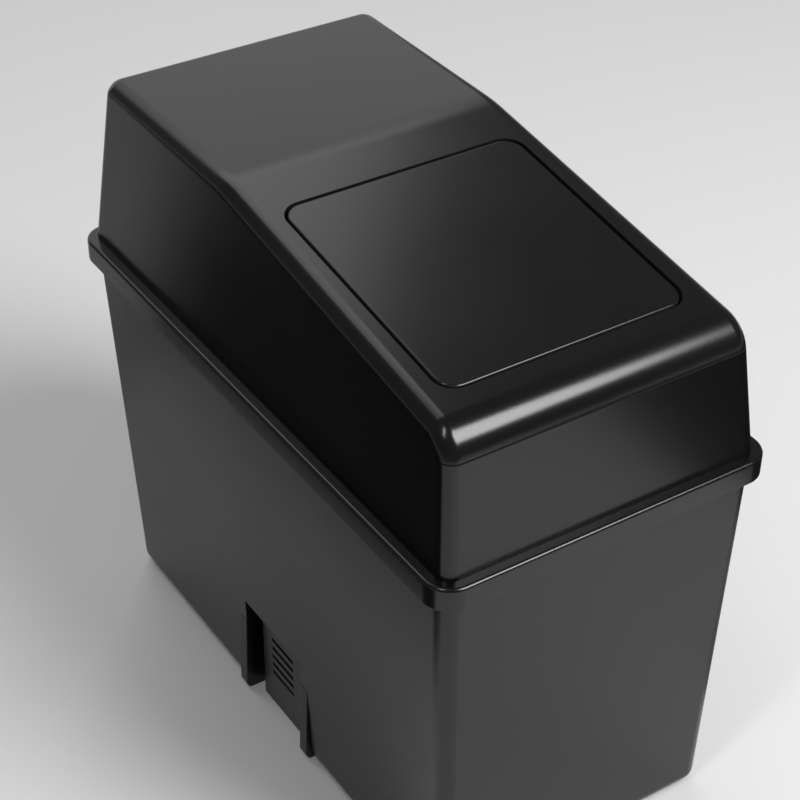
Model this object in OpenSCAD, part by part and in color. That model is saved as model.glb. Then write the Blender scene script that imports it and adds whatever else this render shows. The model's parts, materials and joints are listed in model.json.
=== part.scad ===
// Car trash bin: an open tapered tub, a lift-off hood that caps its rim, and a
// flush flap in the hood's sloping front that pops open on gooseneck arms.
// Millimetres, Z up. Origin: middle of the base, on the floor. The low front of
// the hood faces -Y, and the hanger pocket is in the long side that faces -X.

/* [Tub] */
// Outside width of the tub at its rim
tub_w = 125.5; // [110:0.5:140]
// Outside length of the tub at its rim
tub_l = 242; // [215:0.5:260]
// Height of the tub, floor to rim
tub_h = 154.4; // [120:0.5:180]
// Thickness of the tub's walls
tub_wall = 2.2; // [1.8:0.1:2.6]
// Radius of the tub's upright corners
tub_corner = 6.3; // [5:0.1:8]
// Radius round the foot of the tub
tub_foot_r = 6; // [4:0.1:6.3]
// How far each long side leans in from rim to floor
side_draft = 3.6; // [2.5:0.1:5]
// How far the front leans in from rim to floor
front_draft = 2.4; // [1.5:0.1:5]
// How far the rear leans in from rim to floor
rear_draft = 11.3; // [6:0.1:14]
// Depth of the hollow under the base, inside its standing rim
base_hollow = 1.2; // [0.8:0.1:2]
// Thickness of the tub's floor
tub_floor = 2.4; // [2:0.1:3]
// Width of the standing rim under the base
base_rim = 9; // [8:0.5:14]
// Overhang of the bead round the rim
bead_out = 1.9; // [1.5:0.1:2.1]
// Height of the bead round the rim
bead_h = 3; // [2:0.1:4]

/* [Hanger pocket] */
// Clear width between the two cheeks
pocket_w = 40.6; // [38:0.2:46]
// Height of the pocket above the floor
pocket_h = 46; // [40:0.5:60]
// Place of the pocket's middle along the side
pocket_y = -5.8; // [-30:0.2:30]
// Width of the raised pad between the two grooves
pad_w = 29.6; // [24:0.2:31]
// Depth of the pad's face behind the side
pad_depth = 4.4; // [4.2:0.1:5]
// Thickness of the pad
pad_t = 3; // [2.4:0.1:3.5]
// Depth of the grooves behind the side
groove_depth = 8.8; // [8:0.1:10]
// Thickness of each cheek
cheek_t = 5; // [3:0.1:6]
// Radius of each cheek's lower outer corner
cheek_r = 3; // [2:0.1:4]
// Height at which the cheeks begin to stand out from the side
cheek_rise = 36; // [20:0.5:38]
// How far the cheeks stand out from the side at the floor
cheek_out = 1.8; // [1:0.1:2.4]
// Number of rack slots in the pad
slot_count = 5; // [3:1:6]
// Length of a rack slot
slot_l = 15.8; // [10:0.1:18]
// Height of a rack slot
slot_h = 1.8; // [1.4:0.1:2]
// Depth of a rack slot
slot_depth = 1.6; // [1:0.1:2]
// Distance from one rack slot to the next
slot_pitch = 4.2; // [3.6:0.05:4.5]
// Height of the lowest rack slot's middle
slot_first = 17; // [14:0.1:18]

/* [Hood] */
// Thickness of the hood's walls
hood_wall = 2.2; // [1.8:0.1:2.4]
// Width of the hood just above its band
hood_w = 125.4; // [112:0.2:126]
// Length of the hood just above its band
hood_l = 241.9; // [216:0.1:243]
// Height of the flat top above the band
hood_h = 68.8; // [62:0.2:80]
// Radius of the hood's upright corners
hood_corner = 5.6; // [5:0.1:6.4]
// How far each side leans in from band to top
hood_side_lean = 5.7; // [3:0.1:8]
// How far the rear leans in from band to top
hood_rear_lean = 9.7; // [5:0.1:12]
// Lean of the front wall, in degrees from upright
hood_front_lean = 8.05; // [6:0.05:10]
// Radius along the top edges
edge_round = 6.4; // [5.6:0.1:9]
// Radius of the rounded front shoulder
shoulder_round = 13.3; // [12:0.1:14]
// Width of the fine line moulded under the front shoulder
line_w = 0.5; // [0.4:0.05:0.8]
// Depth of the moulded line
line_depth = 0.4; // [0.2:0.05:0.6]
// Height of the moulded line above the lower end of the shoulder's round
line_rise = 0.5; // [0.4:0.1:1.5]
// Where the top begins to slope, forward or back of the middle
slope_y = 24.5; // [15:0.5:35]
// Angle of the sloping front top, in degrees
slope_angle = 8.1; // [6:0.1:9]
// Radius of the soft bend between the flat and the slope
bend_r = 80; // [40:1:90]
// Outside width of the band that covers the rim
band_w = 133.7; // [133:0.1:148]
// Outside length of the band that covers the rim
band_l = 250; // [249.6:0.1:268]
// Height of the band
band_h = 8.8; // [7:0.1:11]
// Thickness of the band's wall
band_wall = 1.8; // [1.5:0.1:2]
// Radius of the band's upright corners
band_corner = 10; // [9:0.1:12]
// Radius along the band's upper edge
band_round = 1.3; // [0.8:0.1:1.8]

/* [Flap] */
// Width of the flap, side seam to side seam
flap_w = 95.3; // [88:0.1:97]
// Length of the flap, rear seam to front seam
flap_l = 99.7; // [94:0.1:102]
// Distance down the slope from its start to the rear seam
flap_start = 22.8; // [22:0.1:25]
// Width of the seam round the flap
seam = 0.9; // [0.8:0.05:1.2]
// Corner radius of the seam's middle line
flap_corner = 7.5; // [7:0.1:9]
// Thickness of the flap's skin
flap_t = 2.2; // [1.8:0.1:2.4]
// Distance of the flap's stiffening skirt from its edge
skirt_in = 1.9; // [1.7:0.1:2.1]
// Thickness of the stiffening skirt
skirt_t = 1.6; // [1.2:0.1:1.8]
// Depth of the skirt below the surface
skirt_depth = 5; // [4.4:0.1:5.2]
// Depth of the ledge under the flap, with room to press the flap in
ledge_depth = 7.6; // [7.2:0.1:8]
// Width of the ledge at the sides and the rear
ledge_w = 5; // [4:0.1:5.5]
// Thickness of the ledge and of the well's wall
ledge_t = 2; // [1.6:0.1:2.4]
// Length of the latch shelf at the front of the well
shelf_l = 20; // [19:0.1:21]

/* [Inner lid] */
// Clearance between the inner lid and the throat
tray_gap = 1.5; // [1.2:0.1:2]
// Thickness of the inner lid's plate
tray_t = 2; // [1.6:0.1:2.2]
// Thickness of the inner lid's upstanding wall
tray_wall = 1.6; // [1.2:0.1:1.8]
// Depth of the inner lid's plate face below the surface
tray_depth = 9.2; // [9:0.1:9.5]
// Diameter of the screw bosses under the flap
lid_boss_d = 5.5; // [5:0.1:6.5]
// Distance of the screw bosses from the flap's middle line
lid_boss_x = 32; // [26:0.5:34]
// Distance of the screw bosses fore and aft of the flap's middle
lid_boss_s = 22; // [18:0.5:23]

/* [Hinge] */
// Distance of the hinge axis behind the edge of the opening
hinge_back = 10; // [9.5:0.1:10.5]
// Depth of the hinge axis below the surface
hinge_depth = 7; // [6.6:0.1:7.2]
// Diameter of the hinge rod
rod_d = 3; // [2.8:0.1:3.2]
// Radial clearance of the rod in its bores
rod_gap = 0.05; // [0.03:0.01:0.1]
// Distance of each gooseneck arm from the middle
arm_x = 32; // [30:0.5:34]
// Thickness of each gooseneck arm
arm_t = 6; // [5:0.1:6.5]
// Width of the arm's legs
arm_leg = 4; // [3.6:0.1:4.4]
// Depth of the arm's bend below the hinge axis
arm_drop = 14.6; // [14.2:0.1:15]
// Distance of the arm's front leg ahead of the hinge axis
arm_reach = 14.8; // [14.6:0.1:15.2]
// Side clearance of each arm and of each notch
arm_gap = 0.4; // [0.3:0.05:0.8]
// Thickness of each hinge ear
ear_t = 3; // [2.4:0.1:3.4]
// Radius of material round each hinge bore
ear_r = 3.4; // [3.1:0.1:3.6]
// Space along the rod for an opening spring
spring_room = 8; // [7.5:0.1:9]
// Thickness of a retaining clip on the rod
clip_t = 0.6; // [0.5:0.1:0.8]
// Outside diameter of a retaining clip
clip_d = 6; // [5.4:0.1:6.4]

/* [Springs] */
// Wire diameter of an opening spring
hinge_wire = 0.9; // [0.7:0.05:1]
// Turns of an opening spring
hinge_turns = 5; // [4:1:6]
// Mean radius of an opening spring
hinge_coil_r = 2.4; // [2.3:0.05:2.6]
// Reach of an opening spring's tail behind the hinge axis
spring_tail = 9; // [7:0.5:11]
// Reach of an opening spring's leg below the hinge axis
spring_leg = 9; // [7:0.5:10]
// Wire diameter of the latch spring
latch_wire = 0.5; // [0.4:0.05:0.6]
// Turns of the latch spring
latch_turns = 6; // [5:1:8]
// Mean radius of the latch spring
latch_coil_r = 1.6; // [1.5:0.05:1.65]

/* [Latch] */
// Distance of the latch behind the front seam
latch_back = 10.6; // [10.4:0.1:11]
// Width of the sliding core
core_w = 10; // [9:0.1:11]
// Thickness of the sliding core, fore and aft
core_t = 7; // [6.6:0.1:7.4]
// Length of the sliding core
core_l = 16.8; // [16.6:0.1:17.5]
// Clearance round the sliding core
core_gap = 0.12; // [0.1:0.01:0.2]
// Distance of the locked core below the shelf
core_sink = 0.6; // [0.4:0.1:0.8]
// Depth of the cup in the core that takes the striker
cup_depth = 8; // [7.8:0.1:8.6]
// Depth of the spring seat under the core
core_seat = 4; // [3.6:0.1:4.4]
// Travel of the core from locked to popped
core_travel = 6; // [5:0.1:7]
// Wall of the latch housing
latch_wall = 2.2; // [1.8:0.1:2.6]
// Height of the latch housing
latch_h = 24.4; // [23.5:0.1:26]
// Distance of each latch screw from the middle
latch_screw_x = 11.6; // [11.2:0.1:12.4]
// Height of the screw bosses under the shelf
latch_boss_h = 5; // [4.5:0.1:6]
// Diameter of the screw bosses under the shelf
latch_boss_d = 6; // [5.5:0.1:6.4]
// Thickness of the latch housing's screw flanges
flange_t = 2; // [1.6:0.1:2.4]
// Width of the striker
striker_w = 5; // [4:0.1:5.4]
// Thickness of the striker's stem
striker_t = 2.6; // [2.2:0.1:3]
// Radius of the striker's rounded head
striker_r = 1.9; // [1.7:0.05:2]
// Depth of the striker's tip below the surface
striker_tip = 15.9; // [15.5:0.1:16.1]
// Width of the tongue that carries the striker
tongue_w = 18; // [14:0.5:22]
// Diameter of the cam pin
cam_d = 1.2; // [1:0.1:1.4]

/* [Fasteners] */
// Shank diameter of the screws
screw_d = 2; // [1.8:0.1:2.2]
// Head diameter of the screws
head_d = 4.4; // [4:0.1:4.8]
// Head height of the screws
head_h = 1.4; // [1.2:0.1:1.6]
// Diameter of the rubber press stops
stop_d = 3.2; // [2.8:0.1:3.4]
// Height of the press stops above the ledge
stop_h = 0.7; // [0.5:0.1:0.7]

/* [Hidden] */
$fn = 48;
eps = 0.01;
blend_fn = 32;       // facets of a round that a hull blends
bend_steps = 4;      // steps of the soft bend in the top
nose_steps = 8;      // steps round the front shoulder
corner_steps = 8;    // steps of each quarter round of the hood
coil_steps = 12;     // steps in a turn of a spring
slice = 1;           // height of the slices that a hull joins
cut = 1;             // how far a cutting form runs past what it cuts
least_r = 0.5;       // least corner radius inside a ring
screw_slack = 0.35;  // a screw's play in a clearance hole
thread_gap = 0.02;   // a screw's play in its pilot hole
screw_short = 1;     // distance of a screw's end from the skin it points at
tip_gap = 0.2;       // space ahead of a screw's end
touch_gap = 0.05;    // space between a spring and what it bears on
coil_gap = 0.2;      // space round the latch spring in its seat
foot_bend = 0.6;     // size of the bend at an opening spring's foot
clip_play = 0.3;     // space between a retaining clip and its ear
clip_gap = 0.05;     // space round a retaining clip in its groove
clip_sink = 0.3;     // depth of the groove for a retaining clip
clip_grip = 0.1;     // how far each side of a clip's mouth closes in
rod_end = 1.2;       // length of rod beyond a retaining clip
leg_extra = 1;       // extra width of each side of an arm's rear leg
notch_room = 1;      // space ahead of an arm in its notch
core_play = 0.3;     // space round the core in the shelf's hole
cup_wall = 0.9;      // wall of the cup in the core, fore and aft
cup_gap = 0.9;       // space beside the striker in the cup
cup_floor = 0.6;     // material between the cup and the follower's track
track_depth = 1.4;   // depth of the follower's track
track_gap = 0.2;     // space round the follower in its track
pin_out = 0.3;       // how far the follower pin stands out of the housing
stop_lip = 0.6;      // overhang of a press stop's head
stop_tail = 0.6;     // length of a press stop's stem under the ledge
tray_r = 4;          // corner radius of the inner lid
rib_t = 1.2;         // thickness of the inner lid's ribs
rib_gap = 1.5;       // space between the ribs and the flap
tongue_end = 4;      // length of the tongue ahead of the striker
undercut = 1.2;      // undercut along the flap's rear edge
land_share = 0.3;    // share of the flap's thickness above the undercut
plastic = "#26282a";

// Sections of the tub
function side_x(z) = tub_w/2 - side_draft*(1 - z/tub_h);
mouth_x = side_x(pocket_h);
pad_x = mouth_x - pad_depth;
groove_x = mouth_x - groove_depth;
cheek_x = side_x(0) + cheek_out;
groove_w = (pocket_w - pad_w)/2;
floor_top = base_hollow + tub_floor;

// Levels and leans of the hood
band_top = tub_h + hood_wall;
hood_top = band_top + hood_h;
side_tan = hood_side_lean/hood_h;
side_lean = atan(side_tan);
rear_tan = hood_rear_lean/hood_h;
rear_lean = atan(rear_tan);
front_tan = tan(hood_front_lean);
slope_tan = tan(slope_angle);

// Where the sloping top and the front wall would meet, had they no round
shoulder_y = (front_tan*(hood_h - slope_tan*slope_y) - hood_l/2)/(1 - front_tan*slope_tan);
shoulder_z = hood_top - slope_tan*(slope_y - shoulder_y);
round_reach = shoulder_round*tan((90 - hood_front_lean - slope_angle)/2);
line_z = shoulder_z - round_reach*cos(hood_front_lean) + line_rise;
line_y = front_tan*(line_z - band_top) - hood_l/2;

// Flap, seam and well, in the frame of the slope
open_w = flap_w + seam;
open_l = flap_l + seam;
open_r = flap_corner + seam/2;
panel_w = flap_w - seam;
panel_l = flap_l - seam;
panel_r = flap_corner - seam/2;
flap_mid = flap_start + flap_l/2;
open_rear = flap_start - seam/2;
open_front = flap_start + flap_l + seam/2;
throat_w = open_w - 2*ledge_w;
throat_rear = open_rear + ledge_w;
throat_front = open_front - shelf_l;
shelf_under = ledge_depth + ledge_t;

// Hinge line, arms and ears
hinge_s = open_rear - hinge_back;
arm_front = hinge_s + arm_reach;
outer_ear_x = arm_x + arm_t/2 + arm_gap + ear_t/2;
inner_ear_x = arm_x - arm_t/2 - spring_room - ear_t/2;
clip_x = outer_ear_x + ear_t/2 + clip_t/2 + clip_play;
rod_l = 2*(clip_x + clip_t/2 + rod_end);
groove_d = rod_d - 2*clip_sink;

// Inner lid
tray_w = throat_w - 2*tray_gap;
tray_rear = arm_front + arm_leg - tray_wall;
tray_front = throat_front - tray_gap;
tray_floor = tray_depth - tray_t;

// Latch
latch_s = open_front - latch_back;
core_top = shelf_under + core_sink;
latch_floor = shelf_under + latch_h - latch_wall;
flange_top = shelf_under + latch_boss_h;
cam_depth = core_top + cup_depth + cam_d/2 + cup_floor;
stop_stem = stop_d - 2*stop_lip;
stop_x = panel_w/2 - skirt_in - skirt_t/2;
stop_s = open_front - shelf_l/2;

// A flat plate with rounded corners, centred
module plate(w, l, r) {
    square([w - 2*r, l], center = true);
    square([w, l - 2*r], center = true);
    for (x = [-1, 1], y = [-1, 1])
        translate([x*(w/2 - r), y*(l/2 - r)]) circle(r);
}

module ring(w, l, r, t) {
    difference() {
        plate(w, l, r);
        plate(w - 2*t, l - 2*t, max(r - t, least_r));
    }
}

// Frame of the slope: X across, Y up the slope, Z straight out of its surface
module on_slope() {
    translate([0, slope_y, hood_top]) rotate([slope_angle, 0, 0]) children();
}

// A slab in that frame, s is down the slope and the depths are below its surface
module slab(w, s0, s1, d0, d1, x = 0) {
    translate([x - w/2, -s1, -d1]) cube([w, s1 - s0, d1 - d0]);
}

// Child drawn in the plane of the arms: across is down the slope, up is outwards
module across(x, t) {
    translate([x + t/2, 0, 0]) rotate([90, 0, -90]) linear_extrude(t) children();
}

// A tube of wire along a list of points. The ring's first direction is carried
// along the path, so the tube never twists.
function unit(v) = v/norm(v);
function tangent(p, i) =
    unit(p[min(i + 1, len(p) - 1)] - p[max(i - 1, 0)]);
function carried(p, i, a) = i == len(p) ? [] :
    let(t = tangent(p, i), b = unit(a - t*(t*a))) concat([b], carried(p, i + 1, b));
module wire(p, d, sides = 8) {
    n = len(p);
    across_dirs = carried(p, 0, [0, 0, 1]);
    rings = [for (i = [0:n - 1])
        let(a = across_dirs[i], b = cross(a, tangent(p, i)))
        for (k = [0:sides - 1])
            p[i] + d/2*(cos(360*k/sides)*a + sin(360*k/sides)*b)];
    walls = [for (i = [0:n - 2], k = [0:sides - 1])
        let(q = (k + 1) % sides, low = i*sides, high = low + sides)
        each [[low + k, low + q, high + q], [low + k, high + q, high + k]]];
    ends = [[for (k = [sides - 1:-1:0]) k],
            [for (k = [0:sides - 1]) (n - 1)*sides + k]];
    polyhedron(rings, concat(walls, ends), convexity = 6);
}

// Outer or inner form of the tub, drawn in from the outside by inset
module tub_form(inset, low, high) {
    r = tub_corner - inset;
    f = tub_foot_r - inset;
    hull()
        for (x = [-1, 1], y = [-1, 1]) {
            lean = y < 0 ? front_draft : rear_draft;
            translate([x*(tub_w/2 - side_draft - tub_corner),
                       y*(tub_l/2 - lean - tub_corner), low + f])
                rotate_extrude($fn = blend_fn) intersection() {
                    translate([r - f, 0]) circle(f);
                    translate([0, -f]) square([r, 2*f]);
                }
            translate([x*(tub_w/2 - tub_corner), y*(tub_l/2 - tub_corner), high - slice])
                cylinder(r = r, h = slice, $fn = blend_fn);
        }
}

// Walls behind the pocket: two deep ones for the grooves, one shallow for the pad
module pocket_walls() {
    for (y = [-1, 1])
        translate([-mouth_x, pocket_y + y*(pad_w + groove_w)/2, 0])
            translate([0, -groove_w/2 - tub_wall, eps])
                cube([groove_depth + tub_wall, groove_w + 2*tub_wall, pocket_h + tub_wall]);
    translate([-mouth_x, pocket_y - pad_w/2, eps])
        cube([pad_depth + pad_t, pad_w, pocket_h + tub_wall]);
}

// The cheeks beside the pocket lean out from the side toward the floor
module cheeks() {
    for (y = [-1, 1])
        translate([0, pocket_y + y*(pocket_w + cheek_t)/2 + cheek_t/2, 0])
            rotate([90, 0, 0]) linear_extrude(cheek_t) hull() {
                translate([cheek_r - cheek_x, cheek_r]) circle(cheek_r);
                polygon([[-side_x(cheek_rise), cheek_rise], [-groove_x, cheek_rise], [-groove_x, 0]]);
            }
}

module pocket_cut() {
    out = tub_w;
    for (y = [-1, 1])
        translate([-out, pocket_y + y*(pad_w + groove_w)/2 - groove_w/2, -cut])
            cube([out - groove_x, groove_w, pocket_h + cut]);
    translate([-out, pocket_y - pad_w/2 - eps, -cut])
        cube([out - pad_x, pad_w + 2*eps, pocket_h + cut]);
    for (i = [0:slot_count - 1])
        translate([-pad_x - cut, pocket_y - slot_l/2, slot_first + i*slot_pitch - slot_h/2])
            cube([slot_depth + cut, slot_l, slot_h]);
}

module tub() {
    color(plastic) difference() {
        union() {
            difference() {
                tub_form(0, 0, tub_h);
                tub_form(tub_wall, floor_top, tub_h + slice + cut);
            }
            intersection() {
                tub_form(0, 0, tub_h);
                pocket_walls();
            }
            cheeks();
            translate([0, 0, tub_h - bead_h]) linear_extrude(bead_h)
                ring(tub_w + 2*bead_out, tub_l + 2*bead_out, tub_corner + bead_out,
                     bead_out + tub_wall/2);
        }
        pocket_cut();
        translate([0, (front_draft - rear_draft)/2, -cut]) linear_extrude(cut + base_hollow)
            plate(tub_w - 2*(side_draft + base_rim),
                  tub_l - front_draft - rear_draft - 2*base_rim, tub_corner);
    }
}

// Points of an arc from direction u to direction v
function arc(c, r, u, v, a0 = 0, n = corner_steps) =
    [for (i = [0:n]) let(a = a0 + (90 - a0)*i/n) c + r*(cos(a)*u + sin(a)*v)];

// Outer or inner form of the hood; every round keeps its centre as the inset grows
function side_at(z, r) = hood_w/2 - side_tan*(z - band_top) - r/cos(side_lean);
function foot_points(inset, low, x, y) =
    [for (z = [low, band_top]) each
        arc([x*(hood_w/2 - hood_corner), y*(hood_l/2 - hood_corner), z],
            hood_corner - inset, [x, 0, 0], [0, y, 0])];
// Each upright corner keeps its own radius until the top edge's round is tighter
function rear_points(inset, x) =
    let(r = edge_round - inset, z = hood_top - edge_round,
        y = hood_l/2 - rear_tan*(z - band_top) - edge_round/cos(rear_lean))
    [for (a = [side_lean:(90 - side_lean)/corner_steps:90 - eps]) each
        let(c = min(r*cos(a), hood_corner - inset), out = r*cos(a) - c)
        arc([x*(side_at(z, edge_round) + out), y + out, z + r*sin(a)], c, [x, 0, 0], [0, 1, 0])];
function bend_points(inset, x) =
    [for (i = [0:bend_steps]) each
        let(a = slope_angle*i/bend_steps,
            y = slope_y + bend_r*tan(slope_angle/2) - (bend_r - edge_round)*sin(a),
            z = hood_top - bend_r + (bend_r - edge_round)*cos(a))
        arc([x*side_at(z, edge_round), y, z], edge_round - inset,
            [x, 0, 0], [0, -sin(a), cos(a)], side_lean)];
// Round the front shoulder the side edge narrows to the radius of the upright corner
function nose_points(inset, x) =
    let(gap = shoulder_round/cos(slope_angle), in = shoulder_round/cos(hood_front_lean),
        y = shoulder_y + (in - gap*front_tan)/(1 - slope_tan*front_tan),
        z = shoulder_z + slope_tan*(y - shoulder_y) - gap)
    [for (i = [0:nose_steps]) each
        let(a = slope_angle + (90 - hood_front_lean - slope_angle)*i/nose_steps,
            r = edge_round + (hood_corner - edge_round)*i/nose_steps,
            yc = y - (shoulder_round - r)*sin(a), zc = z + (shoulder_round - r)*cos(a))
        arc([x*side_at(zc, r), yc, zc], r - inset, [x, 0, 0], [0, -sin(a), cos(a)])];
module hood_form(inset, low) {
    points = [for (x = [-1, 1]) each
        concat(foot_points(inset, low, x, 1), foot_points(inset, low, x, -1),
               rear_points(inset, x), bend_points(inset, x), nose_points(inset, x))];
    hull() polyhedron(points, [[for (i = [0:len(points) - 1]) i]]);
}

// The band that covers the rim, with its upper edge rounded
module band_form() {
    hull()
        for (x = [-1, 1], y = [-1, 1])
            translate([x*(band_w/2 - band_corner), y*(band_l/2 - band_corner),
                       band_top - band_h])
                rotate_extrude($fn = blend_fn*2) {
                    square([band_corner, band_h - band_round]);
                    square([band_corner - band_round, band_h]);
                    translate([band_corner - band_round, band_h - band_round])
                        circle(band_round, $fn = blend_fn);
                }
}

// An ear that hangs from the skin and carries the rod
module ear(x) {
    across(x, ear_t) {
        translate([hinge_s - ear_r, -hinge_depth])
            square([2*ear_r, hinge_depth - hood_wall/2]);
        translate([hinge_s, -hinge_depth]) circle(ear_r);
    }
}

// The fine line across the front, just under the shoulder
module front_line() {
    difference() {
        translate([-hood_w/2, -hood_l/2, line_z - line_w/2])
            cube([hood_w, line_y + hood_l/2 + hood_corner, line_w]);
        hood_form(line_depth, band_top);
    }
}

module hood_shell() {
    color(plastic) difference() {
        union() {
            difference() {
                union() {
                    hood_form(0, band_top - hood_wall/2);
                    band_form();
                }
                hood_form(hood_wall, tub_h - cut);
                translate([0, 0, band_top - band_h - cut])
                    linear_extrude(tub_h - band_top + band_h + cut)
                        plate(band_w - 2*band_wall, band_l - 2*band_wall,
                              band_corner - band_wall);
                front_line();
            }
            on_slope() {
                translate([0, -flap_mid, -shelf_under]) linear_extrude(shelf_under - hood_wall/2)
                    plate(open_w + 2*ledge_t, open_l + 2*ledge_t, open_r + ledge_t);
                for (x = [-1, 1]) {
                    ear(x*outer_ear_x);
                    ear(x*inner_ear_x);
                    translate([x*latch_screw_x, -latch_s, -flange_top])
                        cylinder(d = latch_boss_d, h = latch_boss_h + ledge_t/2);
                }
            }
        }
        on_slope() {
            translate([0, -flap_mid, -ledge_depth]) linear_extrude(ledge_depth + cut)
                plate(open_w, open_l, open_r);
            slab(throat_w, throat_rear, throat_front, 0, shelf_under + cut);
            for (x = [-1, 1]) {
                slab(arm_t + 2*arm_gap, open_rear - ledge_t - cut, arm_front + arm_leg + notch_room,
                     hood_wall, shelf_under + cut, x*arm_x);
                translate([x*latch_screw_x, -latch_s, -flange_top - cut])
                    cylinder(d = screw_d, h = latch_boss_h + 2*cut);
                translate([x*stop_x, -stop_s, -shelf_under - cut])
                    cylinder(d = stop_stem + 2*rod_gap, h = ledge_t + 2*cut);
            }
            across(0, 2*(outer_ear_x + cut) + ear_t)
                translate([hinge_s, -hinge_depth]) circle(rod_d/2 + rod_gap);
            slab(core_w + 2*core_play, latch_s - core_t/2 - core_play,
                 latch_s + core_t/2 + core_play, ledge_depth - cut, shelf_under + cut);
        }
    }
}

// Rod with a groove near each end for its retaining clip
module hinge_rod() {
    color("silver") on_slope()
        translate([0, -hinge_s, -hinge_depth]) rotate([0, 90, 0]) difference() {
            cylinder(d = rod_d, h = rod_l, center = true);
            for (x = [-1, 1]) translate([0, 0, x*clip_x]) difference() {
                cylinder(d = rod_d + cut, h = clip_t + 2*clip_gap, center = true);
                cylinder(d = groove_d, h = clip_t + cut, center = true);
            }
        }
}

module rod_clips() {
    color("silver") on_slope()
        for (x = [-1, 1])
            across(x*clip_x, clip_t) translate([hinge_s, -hinge_depth]) difference() {
                circle(d = clip_d);
                circle(d = groove_d + 2*clip_gap);
                translate([clip_grip - groove_d/2, -clip_d])
                    square([groove_d - 2*clip_grip, clip_d]);
            }
}

// A torsion spring round the rod. One leg bears on the skin behind the hinge, the
// other lies behind the arm and ends in a short foot across it.
module opening_spring(x) {
    start = x*(arm_x - arm_t/2 - hinge_wire);
    pitch = (spring_room - 2*hinge_wire)/hinge_turns;
    // The tail leaves the coil on the tangent that runs to the skin
    run = spring_tail;
    rise = hinge_depth - hood_wall - hinge_wire/2 - touch_gap;
    leave = atan2(rise, -run) + acos(hinge_coil_r/norm([run, rise]));
    turns = hinge_turns + (540 - leave)/360;
    steps = round(coil_steps*turns);
    width = spring_room - 2*hinge_wire;
    foot = arm_leg/2 + leg_extra + hinge_wire/2 + touch_gap;
    // A point a forward of the rod, b above it and u along it from the arm
    function at(a, b, u) = [start - x*u, -hinge_s - a, b - hinge_depth];
    coil = [for (i = [0:steps])
        let(a = 180 - 360*turns*i/steps)
        at(hinge_coil_r*cos(a), hinge_coil_r*sin(a), width*i/steps)];
    leg = [at(-foot, -spring_leg, -arm_t/2), at(-foot, -spring_leg, -foot_bend),
           at(-foot, foot_bend - spring_leg, 0), at(-foot, -spring_leg/2, 0),
           at(-hinge_coil_r - 2*touch_gap, -hinge_coil_r/2, 0)];
    tail = [at(-run, rise, width)];
    color("gainsboro") on_slope() wire(concat(leg, coil, tail), hinge_wire);
}
module opening_spring_left() { opening_spring(-1); }
module opening_spring_right() { opening_spring(1); }

module latch_housing() {
    w = core_w + 2*core_gap + 2*latch_wall;
    t = core_t + 2*core_gap + 2*latch_wall;
    color("#3a3c3f") on_slope() difference() {
        union() {
            slab(w, latch_s - t/2, latch_s + t/2, shelf_under, shelf_under + latch_h);
            slab(2*latch_screw_x + latch_boss_d, latch_s - latch_boss_d/2,
                 latch_s + latch_boss_d/2, flange_top, flange_top + flange_t);
        }
        slab(core_w + 2*core_gap, latch_s - core_t/2 - core_gap,
             latch_s + core_t/2 + core_gap, shelf_under - cut, latch_floor);
        for (x = [-1, 1])
            translate([x*latch_screw_x, -latch_s, -flange_top - flange_t - cut])
                cylinder(d = screw_d + 2*screw_slack, h = flange_t + 2*cut);
        translate([0, -latch_s - t/2 - cut, -cam_depth]) rotate([-90, 0, 0])
            cylinder(d = cam_d + 2*rod_gap, h = latch_wall + 2*cut);
    }
}

// Follower pin: it reaches through the housing into the core's track
module latch_cam_pin() {
    reach = pin_out + latch_wall + core_gap + track_depth - track_gap;
    color("silver") on_slope()
        translate([0, -latch_s - core_t/2 - core_gap - latch_wall - pin_out, -cam_depth])
            rotate([-90, 0, 0]) cylinder(d = cam_d, h = reach);
}

module latch_core() {
    color("whitesmoke") on_slope() difference() {
        slab(core_w, latch_s - core_t/2, latch_s + core_t/2, core_top, core_top + core_l);
        slab(striker_w + 2*cup_gap, latch_s - core_t/2 + cup_wall,
             latch_s + core_t/2 - cup_wall, core_top - cut, core_top + cup_depth);
        translate([0, -latch_s, -core_top - core_l - cut])
            cylinder(r = latch_coil_r + latch_wire/2 + coil_gap, h = core_seat + cut);
        // Track for the follower pin, as long as the core's travel
        slab(cam_d + 2*track_gap, latch_s + core_t/2 - track_depth, latch_s + core_t/2 + cut,
             cam_depth - cam_d/2 - track_gap, cam_depth + core_travel + cam_d/2 + track_gap);
    }
}

module latch_spring() {
    low = latch_floor - latch_wire/2 - touch_gap;
    high = core_top + core_l - core_seat + latch_wire/2 + touch_gap;
    coil = [for (i = [0:latch_turns*coil_steps])
        let(a = 360*i/coil_steps, z = low + (high - low)*i/(latch_turns*coil_steps))
        [latch_coil_r*cos(a), -latch_s + latch_coil_r*sin(a), -z]];
    color("gainsboro") on_slope() wire(coil, latch_wire);
}

// A pan-head screw that points up, its head's underside at the origin
module screw(l) {
    cylinder(d = screw_d - 2*thread_gap, h = l);
    translate([0, 0, -head_h]) cylinder(d = head_d, h = head_h);
}

module latch_screws() {
    color("silver") on_slope()
        for (x = [-1, 1])
            translate([x*latch_screw_x, -latch_s, -flange_top - flange_t])
                screw(flange_t + latch_boss_h);
}

module inner_lid_screws() {
    color("silver") on_slope()
        for (x = [-1, 1], y = [-1, 1])
            translate([x*lid_boss_x, y*lid_boss_s - flap_mid, -tray_depth])
                screw(tray_t + tray_floor - flap_t - screw_short);
}

// Rubber buttons pressed into the ledge; they stop the flap when it is pushed in
module press_stops() {
    color("dimgray") on_slope()
        for (x = [-1, 1]) translate([x*stop_x, -stop_s, 0]) {
            translate([0, 0, -ledge_depth]) cylinder(d = stop_d, h = stop_h);
            translate([0, 0, -shelf_under - stop_tail])
                cylinder(d = stop_stem, h = ledge_t + stop_tail);
        }
}

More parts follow.
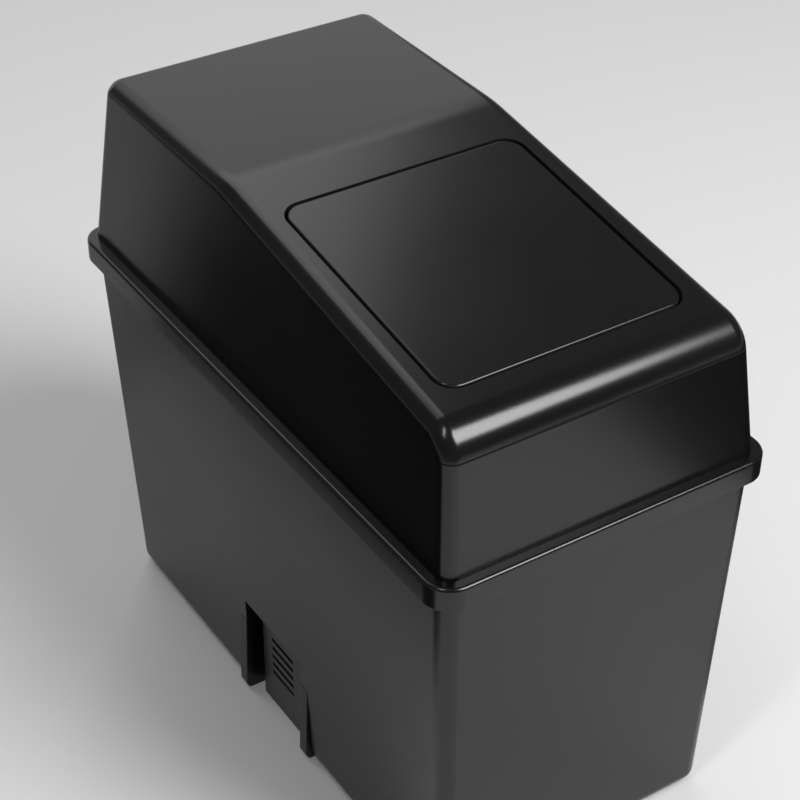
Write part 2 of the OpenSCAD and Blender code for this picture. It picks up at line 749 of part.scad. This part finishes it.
module flap_panel() {
    land = flap_t*land_share;
    color(plastic) on_slope() difference() {
        union() {
            translate([0, -flap_mid, -flap_t]) linear_extrude(flap_t)
                plate(panel_w, panel_l, panel_r);
            translate([0, -flap_mid, -skirt_depth]) linear_extrude(skirt_depth - flap_t/2)
                ring(panel_w - 2*skirt_in, panel_l - 2*skirt_in, panel_r - skirt_in, skirt_t);
            for (x = [-1, 1], y = [-1, 1])
                translate([x*lid_boss_x, y*lid_boss_s - flap_mid, -tray_floor])
                    cylinder(d = lid_boss_d, h = tray_floor - flap_t/2);
        }
        for (x = [-1, 1], y = [-1, 1])
            translate([x*lid_boss_x, y*lid_boss_s - flap_mid, -tray_floor - cut])
                cylinder(d = screw_d, h = tray_floor + cut - flap_t - screw_short + tip_gap);
        // The rear edge is cut back underneath, so that it swings clear of the skin
        across(0, panel_w + 2*cut)
            polygon([[open_rear, -land], [open_rear + seam, -land],
                     [open_rear + seam + undercut, -flap_t - eps], [open_rear, -flap_t - eps]]);
    }
}

// One gooseneck arm: down from the rod, forward under the seam, up to the lid
module arm(x) {
    s = hinge_s;
    bottom = -hinge_depth - arm_drop;
    back = s - arm_leg/2 - leg_extra;
    across(x, arm_t) {
        translate([s, -hinge_depth]) circle(ear_r);
        translate([back, bottom + arm_leg])
            square([arm_leg + 2*leg_extra, arm_drop - arm_leg]);
        translate([back + arm_leg, bottom]) square([arm_front - back - arm_leg, arm_leg]);
        translate([back + arm_leg, bottom + arm_leg]) circle(arm_leg);
        translate([arm_front, bottom + arm_leg])
            square([arm_leg, -flap_t - bottom - arm_leg]);
        translate([arm_front, bottom + arm_leg]) intersection() {
            circle(arm_leg);
            translate([0, -arm_leg]) square([arm_leg, arm_leg]);
        }
    }
}

module flap_inner_lid() {
    l = tray_front - tray_rear;
    mid = (tray_front + tray_rear)/2;
    color("#2b2d2f") on_slope() difference() {
        union() {
            translate([0, -mid, -tray_depth]) linear_extrude(tray_t) plate(tray_w, l, tray_r);
            translate([0, -mid, -tray_depth]) linear_extrude(tray_depth - flap_t)
                ring(tray_w, l, tray_r, tray_wall);
            // Two long ribs and a cross rib stiffen the plate
            for (x = [-1, 1])
                slab(rib_t, tray_rear, tray_front, flap_t + rib_gap, tray_depth - eps, x*tray_w/6);
            for (x = [-1, 1]) arm(x*arm_x);
            slab(tongue_w, tray_front - tray_wall/2, latch_s + tongue_end, flap_t, skirt_depth);
            slab(striker_w, latch_s - striker_t/2, latch_s + striker_t/2,
                 skirt_depth - eps, striker_tip - striker_r);
            across(0, striker_w)
                translate([latch_s, striker_r - striker_tip]) circle(striker_r);
        }
        for (x = [-1, 1], y = [-1, 1])
            translate([x*lid_boss_x, y*lid_boss_s - flap_mid, -tray_depth - cut])
                cylinder(d = screw_d + 2*screw_slack, h = tray_t + 2*cut);
        across(0, 2*(arm_x + arm_t))
            translate([hinge_s, -hinge_depth]) circle(rod_d/2 + rod_gap);
    }
}

tub();
hood_shell();
hinge_rod();
rod_clips();
opening_spring_left();
opening_spring_right();
latch_housing();
latch_screws();
latch_cam_pin();
latch_spring();
press_stops();
flap_panel();
flap_inner_lid();
inner_lid_screws();
latch_core();
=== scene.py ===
import json
import math
import bmesh
import bpy
from mathutils import Matrix, Vector


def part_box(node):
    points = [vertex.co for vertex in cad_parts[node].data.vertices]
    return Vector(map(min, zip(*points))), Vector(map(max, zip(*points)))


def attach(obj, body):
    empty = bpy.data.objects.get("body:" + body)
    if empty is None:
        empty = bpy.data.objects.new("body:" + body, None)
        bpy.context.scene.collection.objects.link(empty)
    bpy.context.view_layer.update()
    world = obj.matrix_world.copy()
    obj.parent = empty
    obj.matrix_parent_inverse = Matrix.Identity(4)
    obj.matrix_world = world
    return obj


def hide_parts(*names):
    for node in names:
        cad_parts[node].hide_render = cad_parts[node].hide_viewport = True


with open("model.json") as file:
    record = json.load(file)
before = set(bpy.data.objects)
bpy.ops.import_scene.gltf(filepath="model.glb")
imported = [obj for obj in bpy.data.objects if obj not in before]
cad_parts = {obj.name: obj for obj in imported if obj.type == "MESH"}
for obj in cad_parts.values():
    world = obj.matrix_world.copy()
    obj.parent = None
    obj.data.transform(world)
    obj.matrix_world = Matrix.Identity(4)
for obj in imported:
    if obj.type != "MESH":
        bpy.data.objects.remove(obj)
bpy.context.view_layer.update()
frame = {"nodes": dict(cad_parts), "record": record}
nodes = frame["nodes"]
print("frame loaded:", len(nodes), "CAD nodes")

# camera, placed where the photographer stood
cameraSet = {
    "place": (-0.3170, -0.4797, 0.5490),
    "azimuth": -33.489,   # degrees, turned from +Y
    "dip": 36.276,        # degrees below the horizon
    "roll": -0.692,
    "lens": 87.35,        # mm
    "sensor": 36,         # mm
    "near": 0.01,
    "beyond": 50,
}


def makeCamera(s):
    a, e, r = (math.radians(s[k]) for k in ("azimuth", "dip", "roll"))
    ahead = Vector((-math.sin(a) * math.cos(e), math.cos(a) * math.cos(e), -math.sin(e)))
    right = Vector((math.cos(a), math.sin(a), 0))
    down = ahead.cross(right)
    x = math.cos(r) * right + math.sin(r) * down
    y = math.cos(r) * down - math.sin(r) * right
    data = bpy.data.cameras.new("camera")
    data.lens, data.sensor_width = s["lens"], s["sensor"]
    data.clip_start, data.clip_end = s["near"], s["beyond"]
    cam = bpy.data.objects.new("camera", data)
    cam.matrix_world = Matrix((x, -y, -ahead)).transposed().to_4x4()
    cam.location = s["place"]
    bpy.context.scene.collection.objects.link(cam)
    bpy.context.scene.camera = cam


makeCamera(cameraSet)
print("camera placed")


# materials

def addNode(tree, kind, settings=None, **inputs):
    n = tree.nodes.new(kind)
    for k, v in (settings or {}).items():
        setattr(n, k, v)
    for k, v in inputs.items():
        sock = n.inputs[int(k[1:])] if k[0] == "i" and k[1:].isdigit() else n.inputs[k.replace("_", " ")]
        if hasattr(v, "node"):
            tree.links.new(v, sock)
        else:
            sock.default_value = v
    return n


def newMaterial(name):
    m = bpy.data.materials.new(name)
    m.use_nodes = True
    t = m.node_tree
    t.nodes.clear()
    out = t.nodes.new("ShaderNodeOutputMaterial")
    body = t.nodes.new("ShaderNodeBsdfPrincipled")
    t.links.new(body.outputs[0], out.inputs[0])
    where = t.nodes.new("ShaderNodeTexCoord").outputs["Object"]
    return m, t, body, where


def grain(t, where, scale, detail, rough=0.5):
    return addNode(t, "ShaderNodeTexNoise", None, Vector=where, Scale=scale, Detail=detail, Roughness=rough).outputs[0]


def spread(t, value, low, high, fromLow=0.3, fromHigh=0.7):
    return addNode(t, "ShaderNodeMapRange", None, i0=value, i1=fromLow, i2=fromHigh, i3=low, i4=high).outputs[0]


def twoTone(t, value, dark, light):
    mix = addNode(t, "ShaderNodeMix", {"data_type": "RGBA"}, Factor=value)
    mix.inputs[6].default_value, mix.inputs[7].default_value = (*dark, 1), (*light, 1)
    return mix.outputs[2]


def mouldedPlastic(name, s):
    m, t, body, where = newMaterial(name)
    clouds = grain(t, where, s["cloudScale"], s["cloudDetail"])
    fine = grain(t, where, s["grainScale"], s["grainDetail"])
    tone = spread(t, clouds, 0, 1)
    t.links.new(twoTone(t, tone, s["dark"], s["light"]), body.inputs["Base Color"])
    haze = spread(t, clouds, s["roughLow"], s["roughHigh"])
    speck = spread(t, fine, -s["speck"], s["speck"])
    both = addNode(t, "ShaderNodeMath", {"operation": "ADD"}, i0=haze, i1=speck).outputs[0]
    t.links.new(both, body.inputs["Roughness"])
    bump = addNode(t, "ShaderNodeBump", None, Strength=s["bump"], Distance=s["bumpDepth"], Height=fine)
    t.links.new(bump.outputs[0], body.inputs["Normal"])
    body.inputs["IOR"].default_value = s["ior"]
    return m


hoodFinish = {"dark": (0.0016, 0.0016, 0.0018), "light": (0.003, 0.003, 0.0032), "roughLow": 0.19, "roughHigh": 0.22,
              "cloudScale": 14, "cloudDetail": 3, "grainScale": 2600, "grainDetail": 2, "speck": 0.02, "bump": 0.12,
              "bumpDepth": 0.00005, "ior": 1.5}
tubFinish = {**hoodFinish, "roughLow": 0.28, "roughHigh": 0.32, "grainScale": 1800, "bump": 0.2}
flapFinish = {**hoodFinish, "roughLow": 0.18, "roughHigh": 0.21}
innerFinish = {**hoodFinish, "roughLow": 0.42, "roughHigh": 0.5, "bump": 0.3}
latchFinish = {**innerFinish, "dark": (0.05, 0.052, 0.055), "light": (0.07, 0.072, 0.076)}
coreFinish = {**innerFinish, "dark": (0.62, 0.61, 0.58), "light": (0.72, 0.71, 0.68)}
# painted shade: a darker, duller black than the shells, for the walls of seams, grooves and slots
seamPaintedShade = {**innerFinish, "dark": (0.0012, 0.0012, 0.0012), "light": (0.002, 0.002, 0.002), "roughLow": 0.6,
              "roughHigh": 0.7}
rubberFinish = {**innerFinish, "dark": (0.012, 0.012, 0.012), "light": (0.02, 0.02, 0.02), "roughLow": 0.7,
                "roughHigh": 0.8}


def springSteel(name, s):
    m, t, body, where = newMaterial(name)
    lines = grain(t, where, s["lineScale"], s["lineDetail"], s["lineRough"])
    t.links.new(twoTone(t, spread(t, lines, 0, 1), s["dark"], s["light"]), body.inputs["Base Color"])
    t.links.new(spread(t, lines, s["roughLow"], s["roughHigh"]), body.inputs["Roughness"])
    bump = addNode(t, "ShaderNodeBump", None, Strength=s["bump"], Distance=s["bumpDepth"], Height=lines)
    t.links.new(bump.outputs[0], body.inputs["Normal"])
    body.inputs["Metallic"].default_value = 1
    return m


steelFinish = {"dark": (0.42, 0.42, 0.43), "light": (0.6, 0.6, 0.61), "roughLow": 0.22, "roughHigh": 0.4,
               "lineScale": 900, "lineDetail": 4, "lineRough": 0.6, "bump": 0.2, "bumpDepth": 0.00005}

finishes = {
    "tub_plastic": mouldedPlastic("satinBlackTub", tubFinish),
    "hood_plastic": mouldedPlastic("glossBlackHood", hoodFinish),
    "flap_plastic": mouldedPlastic("glossBlackFlap", flapFinish),
    "inner_plastic": mouldedPlastic("mattBlackLining", innerFinish),
    "latch_plastic": mouldedPlastic("greyLatch", latchFinish),
    "core_plastic": mouldedPlastic("whiteSlider", coreFinish),
    "seam": mouldedPlastic("paintedSeamShade", seamPaintedShade),
    "steel": springSteel("springSteel", steelFinish),
    "rubber": mouldedPlastic("softRubber", rubberFinish),
}

slotOf = {row["node"]: row["material_slot"] for row in frame["record"]["subparts"]}
for n, o in nodes.items():
    o.data.materials.clear()
    o.data.materials.append(finishes[slotOf[n]])
print("materials made:", len(finishes))

# refined copies of the moulded shells, with rounded outer edges

mergeWithin = 0.00001   # m
flatWithin = 0.6        # degrees
footHeight = 0.001      # edges that stand on the floor stay as they are
shellSet = {
    "tub": {"name": "tubShell", "body": "tub", "edge": 0.0003, "small": 1, "segments": 3, "sharp": 32},
    "hood_shell": {"name": "hoodShell", "body": "hood", "edge": 0.0003, "small": 1, "segments": 3, "sharp": 32},
    "flap_panel": {"name": "flapPanel", "body": "flap", "edge": 0.0008, "small": 0.35, "segments": 4, "sharp": 32,
                   "trim": (0.9945, 0.9965, 1)},   # a little smaller, so that the seam reads as wide as it is
}
# where the painted shade goes (the flap's seam walls, the moulded line, the hanger slots), and the slope it is
# measured from
seamSet = {
    "top": (0, 0.0245, 0.2254),   # where the slope starts
    "tilt": 8.1,                  # degrees
    "sunk": 0.0005,               # the painted shade starts this far below the surface
    "deep": 0.012,
    "front": -0.105,              # the seam's walls lie between these two along the bin
    "rear": 0.005,
    "half": 0.0487,
    "upright": 0.5,
    "flush": 0.0002,              # corners this near the surface belong to the flap's outer edge
    "lineFront": -0.1,
    "line": 0.1963,               # height of the line moulded under the shoulder
    "lineHalf": 0.0006,
    "rack": [(-0.0557, -0.014, 0.0155), (-0.054, 0.0025, 0.0372)],   # box round the five slots of the hanger pad
}


def belowSlope(co, s):
    a = math.radians(s["tilt"])
    return (Vector(s["top"]) - co).dot(Vector((0, -math.sin(a), math.cos(a))))


def inPaintedShade(f, s):
    middle = f.calc_center_median()
    wall = abs(f.normal.z) < s["upright"] and s["front"] < middle.y < s["rear"] and abs(middle.x) < s["half"]
    line = all(v.co.y < s["lineFront"] and abs(v.co.z - s["line"]) < s["lineHalf"] for v in f.verts)
    low, high = s["rack"]
    slot = all(low[k] < middle[k] < high[k] for k in range(3))
    return line or slot or (wall and s["sunk"] < belowSlope(middle, s) < s["deep"])


def refinedCopy(node, s):
    mesh = nodes[node].data.copy()
    bm = bmesh.new()
    bm.from_mesh(mesh)
    bmesh.ops.remove_doubles(bm, verts=bm.verts, dist=mergeWithin)
    if "trim" in s:
        low, high = (Vector(v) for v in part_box(node))
        bmesh.ops.scale(bm, vec=s["trim"], space=Matrix.Translation(-(low + high) / 2), verts=bm.verts)
    bmesh.ops.dissolve_limit(bm, angle_limit=math.radians(flatWithin), verts=bm.verts, edges=bm.edges)
    for f in bm.faces:
        f.smooth = True
        # faces in the seam, the moulded line and the slots take slot 1, the painted shade
        f.material_index = int(inPaintedShade(f, seamSet))
    weight = bm.edges.layers.float.new("bevel_weight_edge")
    for e in bm.edges:
        sharp = len(e.link_faces) == 2 and e.calc_face_angle() > math.radians(s["sharp"])
        low = min(v.co.z for v in e.verts) < footHeight
        # edges next to painted-shade faces stay unbevelled
        seam = node != "flap_panel" and any(f.material_index for f in e.link_faces)
        outer = sharp and e.is_convex and not low and not seam
        top = max(abs(belowSlope(v.co, seamSet)) for v in e.verts) < seamSet["flush"]
        e[weight] = float(outer) * (1 if top else s["small"])
        e.smooth = outer or not sharp
    bm.to_mesh(mesh)
    bm.free()
    # slot 1: the painted seam shade
    mesh.materials.append(finishes["seam"])
    piece = bpy.data.objects.new(s["name"], mesh)
    bpy.context.scene.collection.objects.link(piece)
    bevel = piece.modifiers.new("moulded edges", "BEVEL")
    bevel.width, bevel.segments, bevel.limit_method = s["edge"], s["segments"], "WEIGHT"
    bevel.use_clamp_overlap, bevel.harden_normals = False, True
    even = piece.modifiers.new("even shading", "WEIGHTED_NORMAL")
    even.mode, even.keep_sharp = "FACE_AREA_WITH_ANGLE", True
    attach(piece, s["body"])
    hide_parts(node)
    return piece


for node, s in shellSet.items():
    refinedCopy(node, s)
    print("refined:", node)


# floor, lamps and world

roomSet = {
    "floorSize": 8.0,
    "floorColor": (0.8, 0.8, 0.8),
    "floorRough": 0.8,
    "cardHeight": 0.001,
    "cardRough": 0.9,
    "sky": 0.17,
    "frontLamp": {"aim": (0, -0.12, 0.2), "az": 150, "el": 47, "tip": 47, "far": 1.5, "width": 0.8, "height": 0.95,
                  "glow": 12.5, "shape": "ELLIPSE"},
    "backLamp": {"aim": (0, 0, 0.2), "az": 7.25, "el": 21.56, "tip": 0, "far": 4.408, "width": 5.27, "height": 3.64,
                 "glow": 0.72, "shape": "RECTANGLE"},
    "highLamp": {"aim": (0, 0, 0.2), "az": 7.25, "el": 55.63, "tip": 0, "far": 7.263, "width": 5.27, "height": 5.11,
                 "glow": 1.78, "shape": "RECTANGLE"},
    "cornerLamp": {"aim": (-0.055, -0.11, 0.2), "az": 250, "el": 62, "tip": 62, "far": 1.5, "width": 0.14,
                   "height": 0.9, "glow": 12, "shape": "ELLIPSE"},
    # cards on the floor, seen only in the plastic's shine: dark and grey sheets that paint darker reflections of the
    # floor
    "cards": {
        "sideCard": {"color": 0.008, "corners": [(-0.15, -0.05), (-0.2, -0.14), (-0.9, -0.14), (-0.9, 1.3),
                                                 (-0.15, 0.25)]},
        "rearCard": {"color": 0.56, "corners": [(-0.15, 0.25), (-0.9, 1.3), (-0.9, 2), (0.3, 2), (0.3, 0.6),
                                                (-0.075, 0.2)]},
        "frontCard": {"color": 0.008, "corners": [(0.19, -0.245), (0.383, -0.9), (1.1, -0.9), (1.1, 0.1),
                                                  (0.215, 0.1), (0.215, -0.2)]},
        "rightCard": {"color": 0.3, "corners": [(0.1, -0.15), (0.215, -0.2), (0.215, 0.1), (0.1, 0.1)]},
    },
}


def stagePiece(name, mesh, color, rough):
    piece = bpy.data.objects.new(name, mesh)
    bpy.context.scene.collection.objects.link(piece)
    m, _, body, _ = newMaterial(name + "Finish")
    body.inputs["Base Color"].default_value = (*color, 1)
    body.inputs["Roughness"].default_value = rough
    mesh.materials.append(m)
    return piece


def makeFloor(s):
    bm = bmesh.new()
    bmesh.ops.create_grid(bm, x_segments=1, y_segments=1, size=s["floorSize"] / 2)
    mesh = bpy.data.meshes.new("floor")
    bm.to_mesh(mesh)
    bm.free()
    stagePiece("floor", mesh, s["floorColor"], s["floorRough"])


def makeCard(name, s):
    bm = bmesh.new()
    bm.faces.new([bm.verts.new((x, y, roomSet["cardHeight"])) for x, y in s["corners"]])
    bmesh.ops.recalc_face_normals(bm, faces=bm.faces)
    mesh = bpy.data.meshes.new(name)
    bm.to_mesh(mesh)
    bm.free()
    card = stagePiece(name, mesh, (s["color"],) * 3, roomSet["cardRough"])
    # painted reflection: the card shows only in glossy reflections
    card.visible_camera = card.visible_shadow = card.visible_diffuse = False


def toward(az, el):
    a, e = math.radians(az), math.radians(el)
    return Vector((math.sin(a) * math.cos(e), math.cos(a) * math.cos(e), math.sin(e)))


def makeLamp(name, s):
    data = bpy.data.lights.new(name, "AREA")
    data.shape, data.size, data.size_y = s["shape"], s["width"], s["height"]
    share = math.pi / 4 if data.shape == "ELLIPSE" else 1
    data.energy = s["glow"] * math.pi * s["width"] * s["height"] * share
    lamp = bpy.data.objects.new(name, data)
    lamp.location = Vector(s["aim"]) + toward(s["az"], s["el"]) * s["far"]
    lamp.rotation_euler = toward(s["az"], s["tip"]).to_track_quat("Z", "Y").to_euler()
    lamp.visible_camera = False
    bpy.context.scene.collection.objects.link(lamp)


makeFloor(roomSet)
for cardName, s in roomSet["cards"].items():
    makeCard(cardName, s)
for lampName in ("frontLamp", "backLamp", "highLamp", "cornerLamp"):
    makeLamp(lampName, roomSet[lampName])
world = bpy.data.worlds.new("studio")
bpy.context.scene.world = world
world.use_nodes = True
world.node_tree.nodes["Background"].inputs[0].default_value = (1, 1, 1, 1)
world.node_tree.nodes["Background"].inputs[1].default_value = roomSet["sky"]
bpy.context.scene.view_settings.view_transform = "Standard"
print("studio set up")
